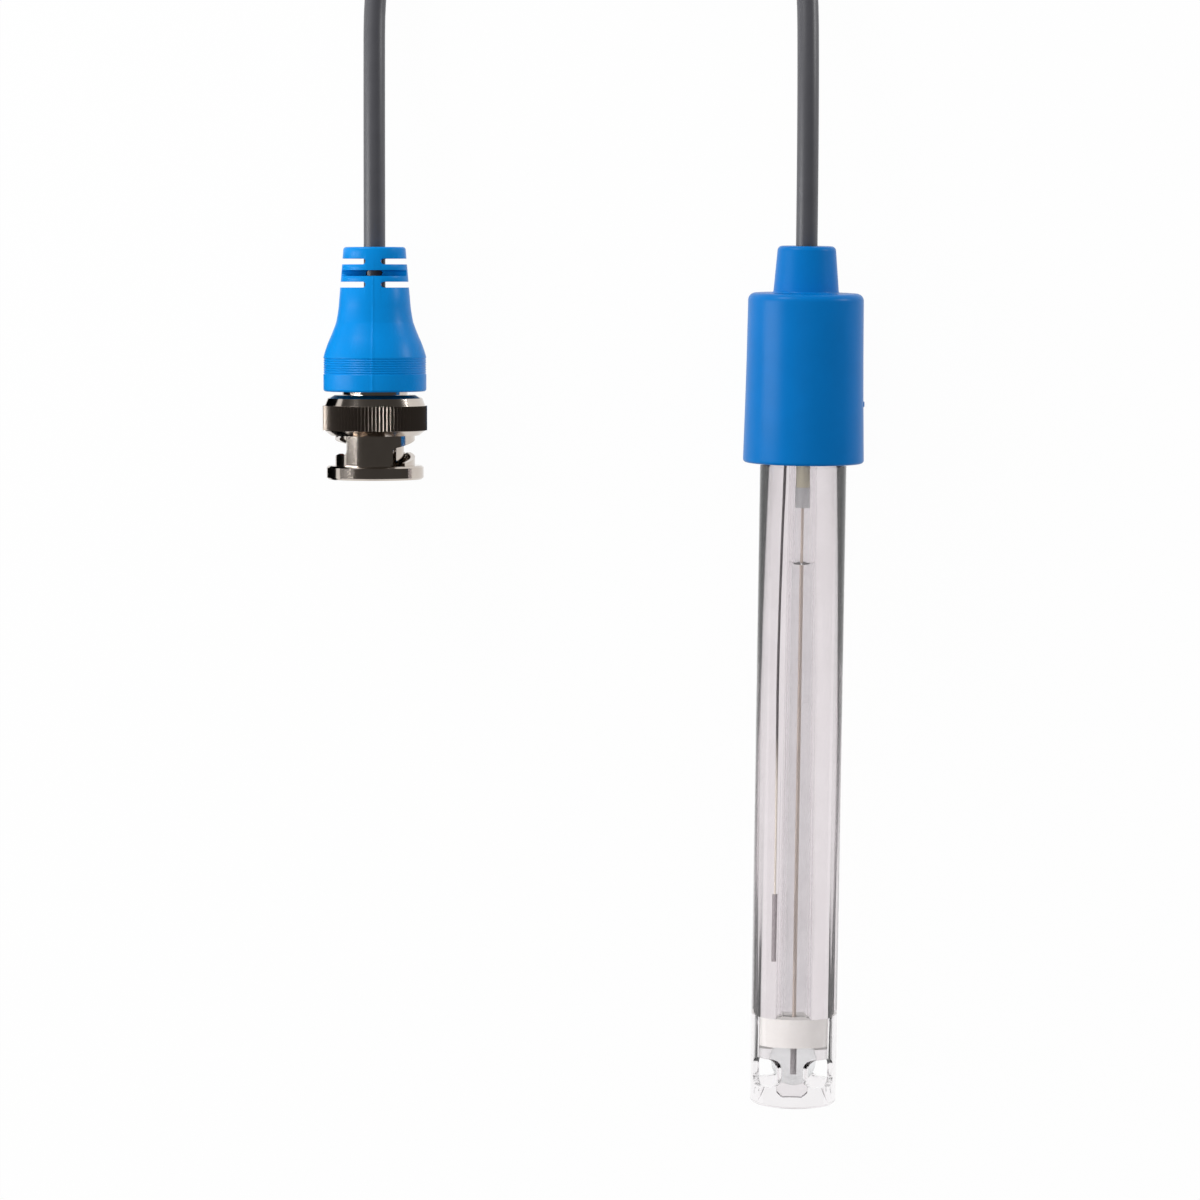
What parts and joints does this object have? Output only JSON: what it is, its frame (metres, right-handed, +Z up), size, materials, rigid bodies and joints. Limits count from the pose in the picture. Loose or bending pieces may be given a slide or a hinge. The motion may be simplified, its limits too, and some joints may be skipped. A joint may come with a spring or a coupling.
{
  "type": "ph electrode",
  "caption": "Clear tube pH electrode with a glass bulb in a windowed guard, a blue cap, a thin grey coaxial cable and a bayonet plug with a blue boot.",
  "frame": {"origin": "on the floor under the middle of the lying electrode, without its cable and plug", "axes": "+Y along the electrode, from its tip towards the cable; +Z up from the floor it lies on; +X away from the plug"},
  "size_m": [0.0753, 0.213, 0.017],
  "materials": {
    "clear_tube": "clear polished plastic",
    "stem_glass": "clear glass",
    "blue_vinyl": "soft moulded, satin",
    "white_junction": "porous, matt",
    "silver": "drawn wire",
    "silver_chloride": "mottled, matt",
    "clear_silicone": "translucent",
    "cream_sleeve": "matt",
    "buffer": "clear liquid",
    "gel": "clear gel",
    "core_plastic": "smooth",
    "copper": "tinned copper strands",
    "solder": "solder",
    "epoxy": "cast resin",
    "nickel": "bright nickel plate",
    "steel": "spring steel",
    "silicone": "soft moulded",
    "white_plastic": "turned, matt",
    "gold": "gold plate",
    "grey_jacket": "extruded, satin"
  },
  "bodies": {
    "root": {"body_tube": "clear_tube", "cap": "blue_vinyl", "glass_stem": "stem_glass", "junction_ring": "white_junction", "inner_wire": "silver", "chloride_coat": "silver_chloride", "stem_stopper": "clear_silicone", "stem_sleeve": "cream_sleeve", "inner_buffer": "buffer", "reference_wire": "silver", "reference_element": "silver_chloride", "reference_gel": "gel", "cable_core": "core_plastic", "cable_conductor": "copper", "inner_joint": "solder", "shield_tail": "copper", "reference_joint": "solder", "tube_potting": "epoxy", "plug_boot": "blue_vinyl", "plug_body": "nickel", "crimp_neck": "nickel", "spring_washer": "steel", "plug_gasket": "silicone", "insulator": "white_plastic", "centre_pin": "gold", "plug_core": "core_plastic", "plug_braid": "copper", "crimp_ferrule": "nickel", "cable_lead_electrode": "grey_jacket", "cable_lead_plug": "grey_jacket", "cable_coil": "grey_jacket"},
    "nut_carrier": {"thrust_washer": "steel"},
    "nut": {"coupling_nut": "nickel"}
  },
  "joints": [
    {"name": "nut_press", "type": "slide", "parent": "root", "child": "nut_carrier", "axis": [0.0126, -0.9999, 0], "range_m": [0, 0.0008], "stiffness_N_per_m": 4000, "deforming": ["spring_washer"]},
    {"name": "nut_turn", "type": "hinge", "parent": "nut_carrier", "child": "nut", "pos_m": [-0.05956, 0.0319, 0.00725], "axis": [0.0126, -0.9999, 0], "continuous": true}
  ]
}
